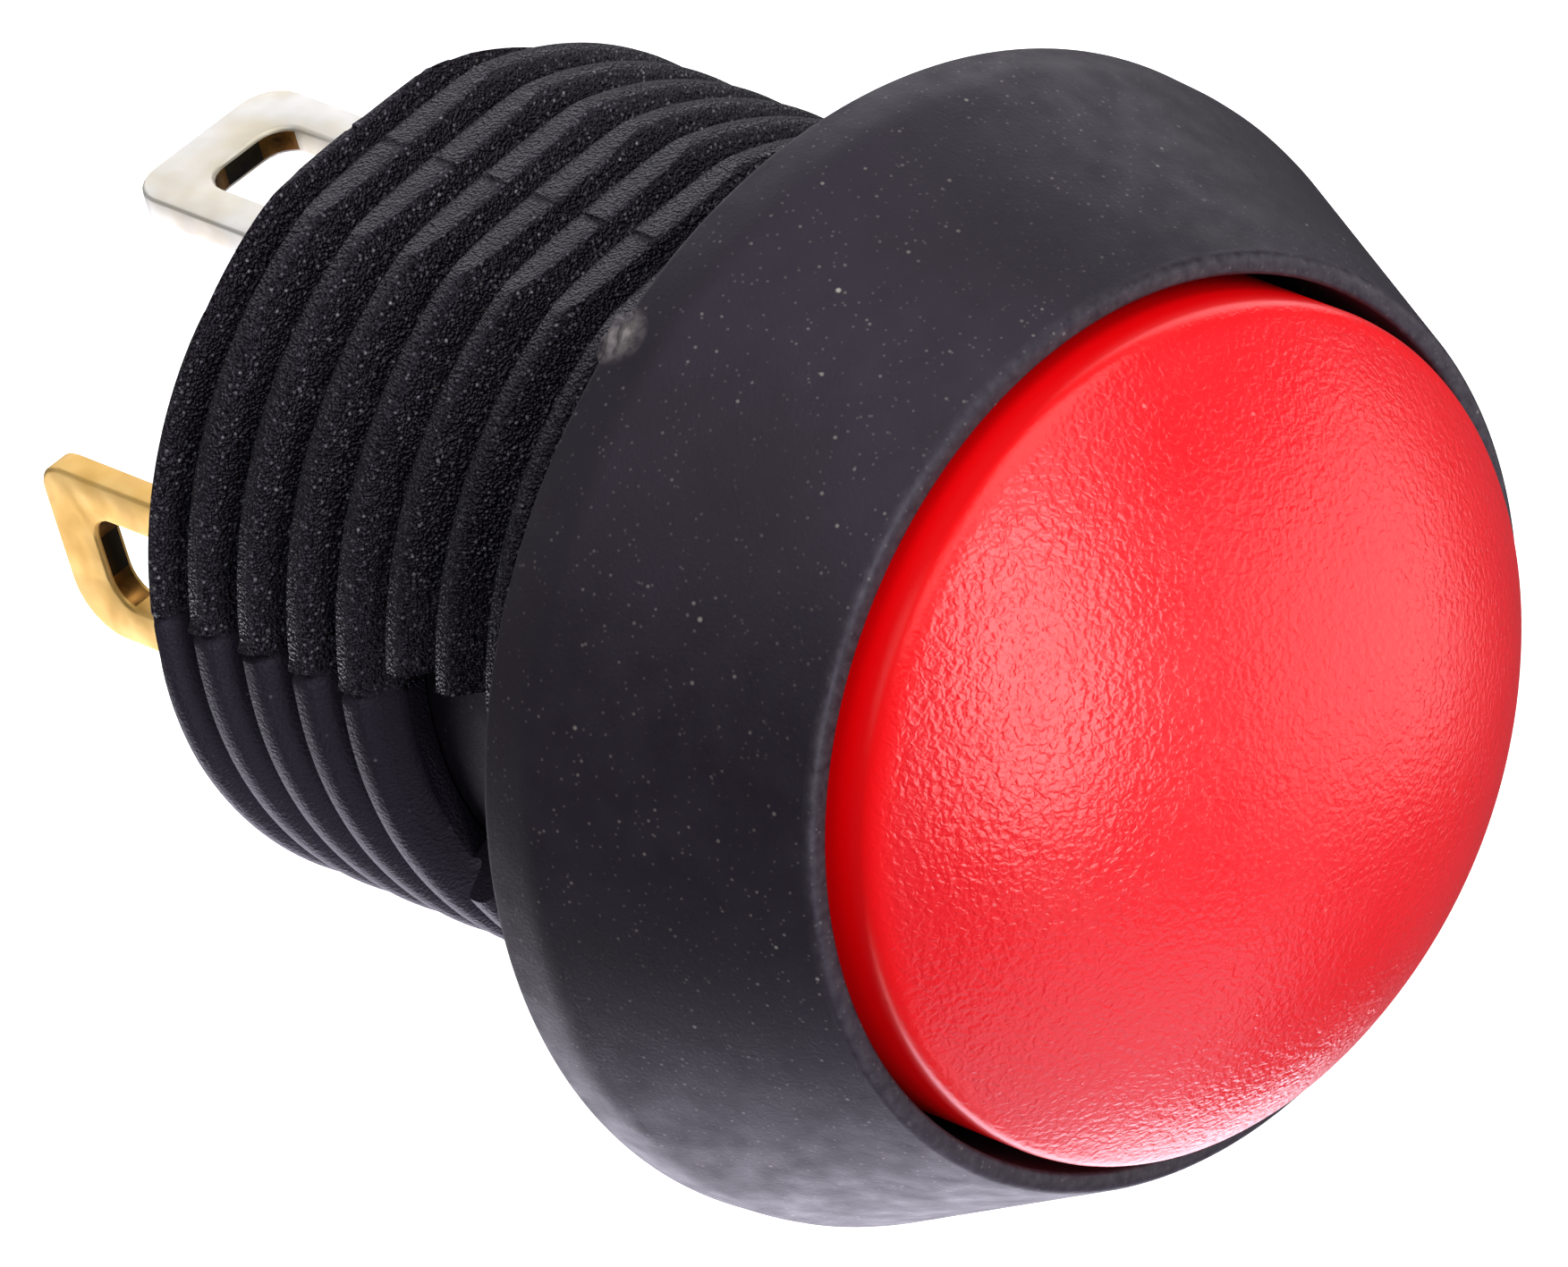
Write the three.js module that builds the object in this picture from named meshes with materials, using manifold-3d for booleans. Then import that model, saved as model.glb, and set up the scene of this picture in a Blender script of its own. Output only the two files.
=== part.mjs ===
// Sealed momentary push button for a 12 mm panel hole.
// Millimetres. The button axis is Y: the cap faces -Y and the solder lugs leave at +Y.
// The origin is the centre of the bezel's seat on the panel.
import * as THREE from 'three';
import { mergeVertices } from 'three/addons/utils/BufferGeometryUtils.js';
import Module from 'manifold-3d';

const wasm = await Module();
wasm.setup();

// Driving dimensions
const THREAD_R = 6.0; // crest radius of the 12 mm thread
const THREAD_DEPTH = 0.62;
const THREAD_PITCH = 1.0;
const THREAD_START = 0.14; // a crest crosses the -X side this far behind the seat
const BUSHING_LENGTH = 9.2;
const END_CHAMFER = 0.15;
const CREST_FLAT_R = 5.72; // the crests are cut flat along two opposite lines
const CREST_FLAT_DEG = 111.5; // direction of the first line, from +X towards +Z
const HEAD_R = 8.14;
const HEAD_HEIGHT = 4.65; // seat to lip
const BAND_HEIGHT = 0.8; // straight band above the seat
const LIP_R = 6.48;
const OPENING_R = 6.2;
const CAP_R = 5.98;
const CAP_EDGE_HEIGHT = 5.2; // seat to the edge between skirt and dome
const DOME_RISE = 2.62;
const CONTACT_TRAVEL = 0.58; // the disc's way to the fixed contacts
const FIT_GAP = 0.04; // between pieces that are pressed or moulded together
const RUN_GAP = 0.06; // between pieces that slide
const FINE = 40; // facets around a large round piece
const COARSE = 24; // facets around a small one

// Housing
const SEAT_Y = 0;
const FLOOR_Y = -0.8; // bezel's inner floor
const NECK_R = 5.0;
const NECK_BORE_R = 4.0;
const NECK_LENGTH = 5.2;
const COUNTERBORE_LENGTH = 5.3;
const BUSHING_BORE_R = 4.45;
const BASE_BORE_R = 4.8;
const BASE_Y = 6.6; // step in the bushing that the terminal base rests on
const RIM_IN_R = 4.98; // rim on the floor that holds the seal's clamp ring
const RIM_OUT_R = 5.22;
const RIM_HEIGHT = 1.05;
const SEAL_GROOVE = { inner: 6.55, outer: 7.4, depth: 0.62 };
const PANEL_SEAL_SQUEEZE = 0.08; // the seal ring stands this far out of its groove

// Window in the bushing wall beside the bezel, in degrees from +X towards +Z
const WINDOW_FROM_DEG = 182;
const WINDOW_TO_DEG = 220;
const WINDOW_LENGTH = 4.62;

// Moving parts
const STEM_R = 1.5;
const STEM_TIP_R = 0.9;
const HUB_R = 3.3; // plunger's head under the cap
const HUB_TOP_Y = -3.7;
const HUB_BOTTOM_Y = -3.15;
const SPIGOT_R = 1.2;
const GUIDE_FRONT_Y = 0.4;
const GUIDE_REAR_Y = 2.6;
const STOP_Y = GUIDE_REAR_Y + FIT_GAP;
const STOP_THICKNESS = 0.45;
const DISC_Y = 4.6; // front face of the moving contact at rest
const DISC_THICKNESS = 0.3;
const DISC_R = 3.5;

// Solder lugs
const LUG_WIDTH = 2.7;
const LUG_THICKNESS = 0.45;
const LUG_OUTER_R = 4.18; // axis to the lug's outer face
const LUG_TIP_Y = 13.25;
const EYE_WIDTH = 1.5;
const EYE_LENGTH = 2.3;
const EYE_FROM_TIP = 0.8;
const EYE_CORNER_R = 0.42;
const FINGER_Y = 5.9; // front face of the leg that carries the contact rivet
const FINGER_END_R = 1.85;
const RIVET_RADIUS_FROM_AXIS = 2.75;
const RIVET_R = 0.5;
const SILVER_ANGLE_DEG = 109.5; // directions of the lugs, from +X towards +Z
const GOLD_ANGLE_DEG = 199.5;

const COLORS = {
  blackNylon: 0x2b2a2f,
  redCap: 0xd8121c,
  whiteAcetal: 0xe6e4dc,
  silicone: 0x9c2f2a,
  nitrile: 0x171718,
  springSteel: 0xb9bbbe,
  silver: 0xdedbd2,
  gold: 0xe0b765,
  brass: 0xc9a24d,
  phenolic: 0x3a2c22,
  epoxy: 0x1f2023,
};

const part = new THREE.Group();

function addPiece(name, geometry, color, roughness, metalness = 0) {
  const material = new THREE.MeshStandardMaterial({ color, roughness, metalness });
  const mesh = new THREE.Mesh(geometry, material);
  mesh.name = name;
  part.add(mesh);
}

// A closed three.js geometry as a manifold solid, whichever way its faces wind.
function toSolid(geometry) {
  const bare = geometry.index ? geometry.toNonIndexed() : geometry.clone();
  bare.deleteAttribute('normal');
  bare.deleteAttribute('uv');
  const welded = mergeVertices(bare, 1e-5);
  const at = welded.attributes.position;
  const index = welded.index.array;
  const kept = [];
  const a = new THREE.Vector3();
  const b = new THREE.Vector3();
  const c = new THREE.Vector3();
  let volume = 0;
  for (let i = 0; i < index.length; i += 3) {
    const [p, q, r] = [index[i], index[i + 1], index[i + 2]];
    if (p === q || q === r || r === p) continue;
    kept.push([p, q, r]);
    a.fromBufferAttribute(at, p);
    b.fromBufferAttribute(at, q);
    c.fromBufferAttribute(at, r);
    volume += a.dot(b.cross(c));
  }
  const outward = volume < 0 ? kept.map(([p, q, r]) => [p, r, q]) : kept;
  return new wasm.Manifold(
    new wasm.Mesh({
      numProp: 3,
      vertProperties: new Float32Array(at.array),
      triVerts: new Uint32Array(outward.flat()),
    }),
  );
}

function toGeometry(solid) {
  const mesh = solid.getMesh();
  const geometry = new THREE.BufferGeometry();
  geometry.setAttribute('position', new THREE.BufferAttribute(mesh.vertProperties, 3));
  geometry.setIndex(new THREE.BufferAttribute(mesh.triVerts, 1));
  return geometry;
}

// A solid turned about the button axis from [radius, y] points.
function turned(points, facets = FINE) {
  const loop = points.map(([r, y]) => new THREE.Vector2(r, y));
  const closed = points[0][0] === 0 && points.at(-1)[0] === 0 ? loop : [...loop, loop[0]];
  return toSolid(new THREE.LatheGeometry(closed, facets));
}

function ring(inner, outer, front, rear, facets = FINE) {
  const section = [[inner, front], [outer, front], [outer, rear], [inner, rear]];
  return turned(section, facets);
}

// Points along a circular arc from one angle to another, in degrees.
function arc(centreR, centreY, radius, fromDeg, toDeg, steps) {
  return Array.from({ length: steps + 1 }, (_, i) => {
    const angle = THREE.MathUtils.degToRad(fromDeg + ((toDeg - fromDeg) * i) / steps);
    return [centreR + radius * Math.cos(angle), centreY + radius * Math.sin(angle)];
  });
}

function boxSolid(width, length, thickness, x, y, z) {
  return toSolid(new THREE.BoxGeometry(width, length, thickness).translate(x, y, z));
}

// Turns a solid made at +Z so that it faces the given direction around the axis.
function facing(solid, angleDeg) {
  return solid.rotate([0, 90 - angleDeg, 0]);
}

// A closed wire coil around the axis.
function coil(radius, wireR, front, rear, turns) {
  class Helix extends THREE.Curve {
    getPoint(t, target = new THREE.Vector3()) {
      const angle = 2 * Math.PI * turns * t;
      const y = THREE.MathUtils.lerp(front + wireR, rear - wireR, t);
      return target.set(radius * Math.cos(angle), y, radius * Math.sin(angle));
    }
  }
  const section = new THREE.Shape();
  section.absarc(0, 0, wireR, 0, 2 * Math.PI);
  const path = { steps: Math.round(turns * 14), extrudePath: new Helix(), curveSegments: 3 };
  return toSolid(new THREE.ExtrudeGeometry(section, path));
}

// Housing -----------------------------------------------------------------------------

function bezelHead() {
  const lipY = -HEAD_HEIGHT;
  const groove = SEAL_GROOVE;
  const profile = [
    [NECK_BORE_R, FLOOR_Y],
    [RIM_IN_R, FLOOR_Y],
    [RIM_IN_R, FLOOR_Y - RIM_HEIGHT],
    [RIM_OUT_R, FLOOR_Y - RIM_HEIGHT],
    [RIM_OUT_R, FLOOR_Y],
    [OPENING_R, FLOOR_Y],
    [OPENING_R, lipY + 0.08],
    [OPENING_R + 0.07, lipY],
    [LIP_R - 0.1, lipY],
    [LIP_R, lipY + 0.12],
    [HEAD_R - 0.22, -BAND_HEIGHT - 0.42],
    [HEAD_R - 0.06, -BAND_HEIGHT],
    [HEAD_R, SEAT_Y - 0.12],
    [HEAD_R - 0.12, SEAT_Y],
    [groove.outer, SEAT_Y],
    [groove.outer, SEAT_Y - groove.depth],
    [groove.inner, SEAT_Y - groove.depth],
    [groove.inner, SEAT_Y],
    [NECK_R, SEAT_Y],
    [NECK_R, NECK_LENGTH],
    [NECK_BORE_R, NECK_LENGTH],
  ];
  return turned(profile, 48);
}

function panelSealRing() {
  const width = SEAL_GROOVE.outer - SEAL_GROOVE.inner - 2 * FIT_GAP;
  const mid = (SEAL_GROOVE.outer + SEAL_GROOVE.inner) / 2;
  const front = SEAT_Y - SEAL_GROOVE.depth + FIT_GAP;
  const rear = SEAT_Y + PANEL_SEAL_SQUEEZE;
  const bulge = width / 4;
  const section = [
    [mid - bulge, front],
    [mid + bulge, front],
    [mid + 2 * bulge, front + bulge],
    [mid + 2 * bulge, rear - bulge],
    [mid + bulge, rear],
    [mid - bulge, rear],
    [mid - 2 * bulge, rear - bulge],
    [mid - 2 * bulge, front + bulge],
  ];
  return turned(section);
}

// Right-hand thread: height at an axial place and an angle, 1 on a crest and 0 in a root.
// The angle is measured from -X, positive about +Y.
function threadHeight(y, angle) {
  const phase = (y - THREAD_START) / THREAD_PITCH - angle / (2 * Math.PI);
  const wave = 0.5 + 0.5 * Math.cos(2 * Math.PI * phase);
  return THREE.MathUtils.clamp(1.5 * wave - 0.12, 0, 1);
}

// The outside is a lathe whose rows are pushed in and out to follow the helix.
function threadedBushing() {
  const front = SEAT_Y + FIT_GAP;
  const rowsPerPitch = 5;
  const rowCount = Math.round((BUSHING_LENGTH - front) * rowsPerPitch);
  const rows = Array.from({ length: rowCount + 1 }, (_, i) => {
    const y = THREE.MathUtils.lerp(front, BUSHING_LENGTH, i / rowCount);
    return [THREAD_R, y];
  });
  const profile = [
    [NECK_R + FIT_GAP, front],
    ...rows,
    [BASE_BORE_R, BUSHING_LENGTH],
    [BASE_BORE_R, BASE_Y],
    [BUSHING_BORE_R, BASE_Y],
    [BUSHING_BORE_R, COUNTERBORE_LENGTH],
    [NECK_R + FIT_GAP, COUNTERBORE_LENGTH],
    [NECK_R + FIT_GAP, front],
  ];
  const points = profile.map(([r, y]) => new THREE.Vector2(r, y));
  const geometry = new THREE.LatheGeometry(points, FINE);
  const at = geometry.attributes.position;
  for (let i = 0; i < at.count; i += 1) {
    const [x, y, z] = [at.getX(i), at.getY(i), at.getZ(i)];
    const radius = Math.hypot(x, z);
    if (radius < THREAD_R - 0.01) continue;
    const angle = Math.atan2(x, z) + Math.PI / 2;
    const depth = THREAD_DEPTH * (1 - threadHeight(y, angle));
    const chamferR = THREAD_R - END_CHAMFER + BUSHING_LENGTH - y;
    const scale = Math.min(THREAD_R - depth, chamferR) / radius;
    at.setXYZ(i, x * scale, y, z * scale);
  }
  return toSolid(geometry)
    .subtract(wallWindow())
    .subtract(crestFlat(CREST_FLAT_DEG))
    .subtract(crestFlat(CREST_FLAT_DEG + 180));
}

function crestFlat(angleDeg) {
  const depth = 1;
  const cutter = boxSolid(6, BUSHING_LENGTH + 1, depth, 0, BUSHING_LENGTH / 2, CREST_FLAT_R + depth / 2);
  return facing(cutter, angleDeg);
}

function wallWindow() {
  const from = THREE.MathUtils.degToRad(WINDOW_FROM_DEG);
  const to = THREE.MathUtils.degToRad(WINDOW_TO_DEG);
  const inner = NECK_R - 0.1;
  const outer = THREAD_R + 1;
  const sector = new THREE.Shape();
  sector.moveTo(inner * Math.cos(from), inner * Math.sin(from));
  sector.lineTo(outer * Math.cos(from), outer * Math.sin(from));
  sector.lineTo(outer * Math.cos(to), outer * Math.sin(to));
  sector.lineTo(inner * Math.cos(to), inner * Math.sin(to));
  const cutter = new THREE.ExtrudeGeometry(sector, { depth: WINDOW_LENGTH + 1, bevelEnabled: false });
  return toSolid(cutter.rotateX(Math.PI / 2).translate(0, WINDOW_LENGTH, 0));
}

function plungerGuide() {
  const profile = [
    [STEM_R + RUN_GAP, GUIDE_FRONT_Y],
    [NECK_BORE_R - FIT_GAP, GUIDE_FRONT_Y],
    [NECK_BORE_R - FIT_GAP, GUIDE_REAR_Y],
    [STEM_R + RUN_GAP, GUIDE_REAR_Y],
  ];
  return turned(profile);
}

function springSeatWasher() {
  return ring(STEM_R + 0.15, 3.2, GUIDE_FRONT_Y - 0.24, GUIDE_FRONT_Y - FIT_GAP, 32);
}

// Thin silicone bellows from the bezel's floor up to the plunger's head.
function sealBoot() {
  const wall = 0.3;
  const foot = FLOOR_Y - FIT_GAP;
  const outside = [
    [NECK_BORE_R + 0.15, foot],
    [RIM_IN_R - FIT_GAP, foot],
    [RIM_IN_R - FIT_GAP, foot - 0.4],
    [4.6, foot - 0.4],
    [4.45, -2.0],
    [3.9, -2.35],
    [4.1, -2.9],
    [HUB_R + wall + FIT_GAP, -3.2],
    [HUB_R + wall + FIT_GAP, -3.65],
  ];
  const inside = [
    [HUB_R + FIT_GAP, -3.65],
    [HUB_R + FIT_GAP, -3.1],
    [3.72, -2.8],
    [3.55, -2.4],
    [4.1, -1.85],
    [4.2, foot - 0.4],
  ];
  return turned([...outside, ...inside], 32);
}

function sealClampRing() {
  const rear = FLOOR_Y - FIT_GAP - 0.4 - FIT_GAP;
  return ring(4.7, RIM_IN_R - FIT_GAP, FLOOR_Y - RIM_HEIGHT, rear);
}

function lugSlot(angleDeg, gap, front, rear) {
  const width = LUG_WIDTH + 2 * gap;
  const thickness = LUG_THICKNESS + 2 * gap;
  const z = LUG_OUTER_R - LUG_THICKNESS / 2;
  return facing(boxSolid(width, rear - front, thickness, 0, (front + rear) / 2, z), angleDeg);
}

function terminalBase() {
  const front = BASE_Y + FIT_GAP;
  const rear = 8.3;
  const wellR = STEM_R + 0.2;
  const profile = [
    [0, 7.5],
    [wellR, 7.5],
    [wellR, front],
    [BASE_BORE_R - FIT_GAP, front],
    [BASE_BORE_R - FIT_GAP, rear],
    [0, rear],
  ];
  return turned(profile)
    .subtract(lugSlot(SILVER_ANGLE_DEG, FIT_GAP, front - 1, rear + 1))
    .subtract(lugSlot(GOLD_ANGLE_DEG, FIT_GAP, front - 1, rear + 1));
}

function pottingPlug() {
  const front = 8.3 + FIT_GAP;
  const rear = BUSHING_LENGTH - 0.35;
  const meniscus = 0.12; // the resin creeps up the wall as it sets
  const profile = [
    [0, front],
    [BASE_BORE_R - FIT_GAP, front],
    [BASE_BORE_R - FIT_GAP, rear + meniscus],
    [BASE_BORE_R - 0.35, rear],
    [0, rear],
  ];
  return turned(profile)
    .subtract(lugSlot(SILVER_ANGLE_DEG, FIT_GAP, front - 1, rear + 1))
    .subtract(lugSlot(GOLD_ANGLE_DEG, FIT_GAP, front - 1, rear + 1));
}

// Moving pieces -----------------------------------------------------------------------

function buttonCap() {
  const wall = 0.6;
  const edgeY = -CAP_EDGE_HEIGHT;
  const skirtEndY = -2.6;
  const sphereR = (CAP_R ** 2 + DOME_RISE ** 2) / (2 * DOME_RISE);
  const centreY = edgeY - DOME_RISE + sphereR;
  const edgeDeg = THREE.MathUtils.radToDeg(Math.asin(CAP_R / sphereR));
  const dome = arc(0, centreY, sphereR, -90, -90 + edgeDeg, 8);
  dome[0][0] = 0;
  const innerR = sphereR - 0.9;
  const innerEdgeR = CAP_R - wall;
  const innerDeg = THREE.MathUtils.radToDeg(Math.asin(innerEdgeR / innerR));
  const bossR = 2.4;
  const bossDeg = THREE.MathUtils.radToDeg(Math.asin(bossR / innerR));
  const ceiling = arc(0, centreY, innerR, -90 + innerDeg, -90 + bossDeg, 3);
  const bossEndY = HUB_TOP_Y - FIT_GAP;
  const boreR = SPIGOT_R + FIT_GAP;
  const boreTopY = bossEndY - 1.9;
  return turned([
    ...dome,
    [CAP_R, skirtEndY],
    [CAP_R - wall, skirtEndY],
    ...ceiling,
    [bossR, bossEndY],
    [boreR, bossEndY],
    [boreR, boreTopY],
    [0, boreTopY],
  ]);
}

function plunger() {
  const stopSeatY = STOP_Y + STOP_THICKNESS + FIT_GAP;
  return turned(
    [
      [0, HUB_TOP_Y - 1.8],
      [SPIGOT_R, HUB_TOP_Y - 1.8],
      [SPIGOT_R, HUB_TOP_Y],
      [HUB_R, HUB_TOP_Y],
      [HUB_R, HUB_BOTTOM_Y],
      [STEM_R, HUB_BOTTOM_Y],
      [STEM_R, GUIDE_REAR_Y + 0.02],
      [STEM_R - 0.3, GUIDE_REAR_Y + 0.02],
      [STEM_R - 0.3, stopSeatY],
      [STEM_TIP_R, stopSeatY],
      [STEM_TIP_R, 5.5],
      [0, 5.5],
    ],
    32,
  );
}

function stopRing() {
  return ring(STEM_R - 0.3 + FIT_GAP, 2.3, STOP_Y, STOP_Y + STOP_THICKNESS, 32);
}

function contactDisc() {
  const rear = DISC_Y + DISC_THICKNESS;
  return ring(STEM_TIP_R + RUN_GAP, DISC_R, DISC_Y, rear, 40);
}

function discRetainer() {
  const front = DISC_Y + DISC_THICKNESS + FIT_GAP;
  return ring(STEM_TIP_R + FIT_GAP, 1.4, front, front + 0.3, COARSE);
}

// Fixed contacts ----------------------------------------------------------------------

// Lug outline with its width along X and its tip at +Y, with its own tip corners.
function lugOutline(leftCornerR, rightCornerR) {
  const half = LUG_WIDTH / 2;
  const shape = new THREE.Shape();
  shape.moveTo(-half, FINGER_Y);
  shape.lineTo(half, FINGER_Y);
  shape.lineTo(half, LUG_TIP_Y - rightCornerR);
  shape.absarc(half - rightCornerR, LUG_TIP_Y - rightCornerR, rightCornerR, 0, Math.PI / 2);
  shape.lineTo(-half + leftCornerR, LUG_TIP_Y);
  shape.absarc(-half + leftCornerR, LUG_TIP_Y - leftCornerR, leftCornerR, Math.PI / 2, Math.PI);
  shape.lineTo(-half, FINGER_Y);
  shape.holes.push(lugEye());
  return shape;
}

function lugEye() {
  const half = EYE_WIDTH / 2;
  const top = LUG_TIP_Y - EYE_FROM_TIP;
  const bottom = top - EYE_LENGTH;
  const r = EYE_CORNER_R;
  const eye = new THREE.Path();
  eye.moveTo(-half, bottom + r);
  eye.absarc(-half + r, bottom + r, r, Math.PI, 1.5 * Math.PI);
  eye.absarc(half - r, bottom + r, r, 1.5 * Math.PI, 2 * Math.PI);
  eye.absarc(half - r, top - r, r, 0, 0.5 * Math.PI);
  eye.absarc(-half + r, top - r, r, 0.5 * Math.PI, Math.PI);
  return eye;
}

function solderLug(angleDeg, leftCornerR, rightCornerR) {
  const options = { depth: LUG_THICKNESS, bevelEnabled: false, curveSegments: 6 };
  const blade = new THREE.ExtrudeGeometry(lugOutline(leftCornerR, rightCornerR), options);
  blade.translate(0, 0, LUG_OUTER_R - LUG_THICKNESS);
  const legLength = LUG_OUTER_R - FINGER_END_R;
  const legY = FINGER_Y + LUG_THICKNESS / 2;
  const leg = boxSolid(1.6, LUG_THICKNESS, legLength, 0, legY, FINGER_END_R + legLength / 2);
  return facing(toSolid(blade).add(leg), angleDeg);
}

function contactRivet(angleDeg) {
  const front = DISC_Y + DISC_THICKNESS + CONTACT_TRAVEL + 0.02;
  const rear = FINGER_Y - FIT_GAP;
  const button = new THREE.CylinderGeometry(RIVET_R, RIVET_R, rear - front, COARSE);
  button.translate(0, (front + rear) / 2, RIVET_RADIUS_FROM_AXIS);
  return facing(toSolid(button), angleDeg);
}

addPiece('bezel_head', toGeometry(bezelHead()), COLORS.blackNylon, 0.6);
addPiece('threaded_bushing', toGeometry(threadedBushing()), COLORS.blackNylon, 0.7);
addPiece('panel_seal_ring', toGeometry(panelSealRing()), COLORS.nitrile, 0.8);
addPiece('plunger_guide', toGeometry(plungerGuide()), COLORS.whiteAcetal, 0.5);
addPiece('spring_seat_washer', toGeometry(springSeatWasher()), COLORS.springSteel, 0.3, 1);
addPiece('seal_boot', toGeometry(sealBoot()), COLORS.silicone, 0.6);
addPiece('seal_clamp_ring', toGeometry(sealClampRing()), COLORS.springSteel, 0.3, 1);
addPiece('terminal_base', toGeometry(terminalBase()), COLORS.phenolic, 0.6);
addPiece('potting_plug', toGeometry(pottingPlug()), COLORS.epoxy, 0.25);
addPiece('button_cap', toGeometry(buttonCap()), COLORS.redCap, 0.3);
addPiece('plunger', toGeometry(plunger()), COLORS.whiteAcetal, 0.5);
addPiece('stop_ring', toGeometry(stopRing()), COLORS.springSteel, 0.3, 1);
addPiece(
  'return_spring',
  toGeometry(coil(2.2, 0.2, HUB_BOTTOM_Y + FIT_GAP, GUIDE_FRONT_Y - 0.28, 3.5)),
  COLORS.springSteel,
  0.3,
  1,
);
addPiece(
  'contact_spring',
  toGeometry(coil(1.45, 0.1, STOP_Y + STOP_THICKNESS + FIT_GAP, DISC_Y - FIT_GAP, 2.5)),
  COLORS.springSteel,
  0.3,
  1,
);
addPiece('contact_disc', toGeometry(contactDisc()), COLORS.gold, 0.25, 1);
addPiece('disc_retainer', toGeometry(discRetainer()), COLORS.springSteel, 0.3, 1);
addPiece('silver_lug', toGeometry(solderLug(SILVER_ANGLE_DEG, 0.4, 0.5)), COLORS.silver, 0.35, 1);
addPiece('gold_lug', toGeometry(solderLug(GOLD_ANGLE_DEG, 0.85, 0.35)), COLORS.gold, 0.3, 1);
addPiece('silver_lug_rivet', toGeometry(contactRivet(SILVER_ANGLE_DEG)), COLORS.silver, 0.3, 1);
addPiece('gold_lug_rivet', toGeometry(contactRivet(GOLD_ANGLE_DEG)), COLORS.silver, 0.3, 1);

export default part;
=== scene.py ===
import math
import random

import bmesh
import bpy
from mathutils import Matrix, Vector


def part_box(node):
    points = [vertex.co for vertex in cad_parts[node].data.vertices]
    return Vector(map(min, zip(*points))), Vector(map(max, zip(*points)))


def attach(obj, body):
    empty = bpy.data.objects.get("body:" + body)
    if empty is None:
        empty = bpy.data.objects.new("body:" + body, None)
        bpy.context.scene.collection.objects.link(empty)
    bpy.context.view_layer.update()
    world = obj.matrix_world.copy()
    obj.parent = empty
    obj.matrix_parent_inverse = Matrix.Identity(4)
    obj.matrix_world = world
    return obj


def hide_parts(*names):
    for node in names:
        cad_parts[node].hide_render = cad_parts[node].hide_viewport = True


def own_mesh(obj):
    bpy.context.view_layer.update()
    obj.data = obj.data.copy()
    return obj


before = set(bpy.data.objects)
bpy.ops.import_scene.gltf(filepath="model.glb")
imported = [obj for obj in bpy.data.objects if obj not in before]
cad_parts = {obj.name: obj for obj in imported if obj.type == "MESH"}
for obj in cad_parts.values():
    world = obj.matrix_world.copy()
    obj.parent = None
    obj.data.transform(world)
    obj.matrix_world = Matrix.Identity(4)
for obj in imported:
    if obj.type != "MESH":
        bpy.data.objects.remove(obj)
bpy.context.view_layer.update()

mm = 0.001
axis = Vector((0, 1, 0))  # the button's axis, front to rear
random.seed(12)


def span(node):  # radius, front and rear of a CAD node, in mm
    low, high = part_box(node)
    return high.x / mm, low.y / mm, high.y / mm


def spoke(degrees):  # direction across the axis, from +X towards +Z
    turn = math.radians(degrees)
    return Vector((math.cos(turn), 0, math.sin(turn)))


# Shapes are modelled in millimetres and scaled down when they are done.

def roundCorner(before, corner, after, radius):  # slerp gives unit vectors, so the arc is scaled up again
    back, ahead = (before - corner).normalized(), (after - corner).normalized()
    half = back.angle(ahead) / 2
    centre = corner + (back + ahead).normalized() * radius / math.sin(half)
    start = corner + back * radius / math.tan(half) - centre
    end = corner + ahead * radius / math.tan(half) - centre
    steps = max(2, round(math.degrees(math.pi - 2 * half) / 14))
    return [centre + start.slerp(end, i / steps) * radius for i in range(steps + 1)]


def outlineOf(corners):  # corners are (radius, y) or (radius, y, rounding)
    flat = [Vector(c[:2]) for c in corners]
    points = []
    for i, corner in enumerate(corners):
        if len(corner) == 3:
            points += roundCorner(flat[i - 1], flat[i], flat[(i + 1) % len(flat)], corner[2])
        else:
            points.append(flat[i])
    return points


def arcPoints(centreY, radius, fromDegrees, toDegrees, steps):
    turns = [math.radians(fromDegrees + (toDegrees - fromDegrees) * i / steps) for i in range(steps + 1)]
    return [(radius * math.sin(t), centreY - radius * math.cos(t)) for t in turns]


def spun(points, steps=192):  # a closed solid of revolution; an outline from pole to pole stays open
    bm = bmesh.new()
    verts = [bm.verts.new((-p[0], p[1], 0)) for p in points]
    pairs = list(zip(verts, verts[1:]))
    if points[0][0] > 1e-6 or points[-1][0] > 1e-6:
        pairs.append((verts[-1], verts[0]))
    edges = [bm.edges.new(pair) for pair in pairs]
    bmesh.ops.spin(bm, geom=verts + edges, cent=(0, 0, 0), axis=axis, dvec=(0, 0, 0),
                   angle=2 * math.pi, steps=steps, use_merge=True, use_duplicate=False)
    bmesh.ops.remove_doubles(bm, verts=bm.verts, dist=1e-4)
    bmesh.ops.recalc_face_normals(bm, faces=bm.faces)
    return bm


def coiled(radius, wire, front, rear, turns, sides=12, perTurn=48):  # a wire coil with closed ground ends
    bm = bmesh.new()
    steps = round(turns * perTurn)
    place = Matrix.Translation((-radius, front + wire, 0))
    section = bmesh.ops.create_circle(bm, cap_ends=False, radius=wire, segments=sides, matrix=place)
    edges = list({e for v in section["verts"] for e in v.link_edges})
    rise = (rear - front - 2 * wire) / steps
    bmesh.ops.spin(bm, geom=section["verts"] + edges, cent=(0, 0, 0), axis=axis, dvec=axis * rise,
                   angle=2 * math.pi * turns, steps=steps, use_merge=False, use_duplicate=False)
    bmesh.ops.remove_doubles(bm, verts=bm.verts, dist=1e-5)
    bmesh.ops.holes_fill(bm, edges=[e for e in bm.edges if e.is_boundary], sides=0)
    bmesh.ops.recalc_face_normals(bm, faces=bm.faces)
    return bm


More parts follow.
